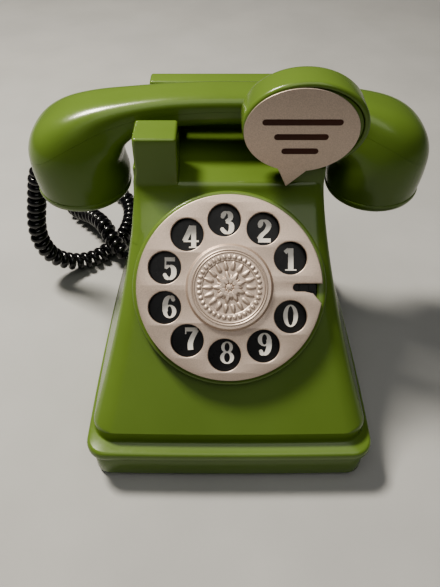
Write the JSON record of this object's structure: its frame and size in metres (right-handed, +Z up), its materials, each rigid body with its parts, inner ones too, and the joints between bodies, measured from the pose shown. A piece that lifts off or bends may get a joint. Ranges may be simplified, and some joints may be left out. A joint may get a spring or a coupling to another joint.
{
  "type": "corded rotary telephone",
  "caption": "Retro desk telephone: a cradle base with a spring-return finger wheel, a lift-off handset on a curled cord and a speech-bubble sign.",
  "frame": {"origin": "on the table, under the middle of the telephone", "axes": "+X to the right along the handset, +Y to the rear, +Z up"},
  "size_m": [0.2485, 0.2717, 0.185],
  "materials": {
    "green_plastic": "gloss",
    "silver_plastic": "satin",
    "black_plastic": "gloss",
    "white_print": "matte",
    "brown_print": "matte",
    "rubber": "matte",
    "steel": "satin",
    "brass": "satin",
    "circuit_green": "matte",
    "speaker_black": "matte",
    "cord_black": "gloss"
  },
  "bodies": {
    "base": {"base_tray": "green_plastic", "rubber_feet": "rubber", "base_screws": "steel", "upper_housing": "green_plastic", "line_jack": "black_plastic", "cord_jack": "black_plastic", "circuit_board": "circuit_green", "board_parts": "black_plastic", "ringer_speaker": "speaker_black", "dial_cup": "green_plastic", "dial_screws": "steel", "number_plate": "black_plastic", "number_print": "white_print", "finger_stop": "black_plastic", "dial_frame": "steel", "dial_bush": "brass", "return_spring": "steel", "pulse_contacts": "brass", "governor_bracket": "steel", "governor_drum": "brass", "hook_springs": "steel", "hook_bracket": "steel", "hook_switch": "black_plastic", "sign_drum": "green_plastic", "sign_face": "green_plastic", "bubble_plate": "silver_plastic", "bubble_bars": "brown_print", "sign_screws": "steel", "curly_cord": "cord_black", "base_plug": "black_plastic"},
    "ringer": {"ringer_switch": "black_plastic"},
    "dial": {"finger_wheel": "silver_plastic", "hub_medallion": "silver_plastic", "dial_shaft": "steel", "drive_gear": "brass"},
    "governor": {"governor_pinion": "brass", "governor_weights": "steel"},
    "hook": {"hook_plungers": "black_plastic", "hook_bar": "steel"},
    "handset": {"handset_upper_shell": "green_plastic", "handset_lower_shell": "green_plastic", "ear_cap": "green_plastic", "mouth_cap": "green_plastic", "receiver_capsule": "speaker_black", "transmitter_capsule": "speaker_black", "handset_weight": "steel", "handset_screws": "steel", "handset_socket": "black_plastic", "handset_plug": "black_plastic"}
  },
  "joints": [
    {"name": "handset_lift", "type": "slide", "parent": "base", "child": "handset", "axis": [0, 0, 1], "range_m": [0, 0.06]},
    {"name": "hook_slide", "type": "slide", "parent": "base", "child": "hook", "axis": [0, 0, 1], "range_m": [0, 0.0041]},
    {"name": "dial_spin", "type": "hinge", "parent": "base", "child": "dial", "pos_m": [0, -0.031, 0.095], "axis": [0, 0.7009, -0.7133], "range_deg": [0, 310], "stiffness_Nm_per_rad": 0.002, "springref_deg": -28.65},
    {"name": "governor_spin", "type": "hinge", "parent": "base", "child": "governor", "pos_m": [-0.01607, -0.05086, 0.07548], "axis": [0, 0.7009, -0.7133], "range_deg": [-930, 0]},
    {"name": "ringer_slide", "type": "slide", "parent": "base", "child": "ringer", "axis": [-1, 0, 0], "range_m": [0, 0.004]}
  ],
  "couplings": [
    {"joint": "hook_slide", "follows": "handset_lift", "ratio": 0.066667},
    {"joint": "governor_spin", "follows": "dial_spin", "ratio": -3}
  ]
}
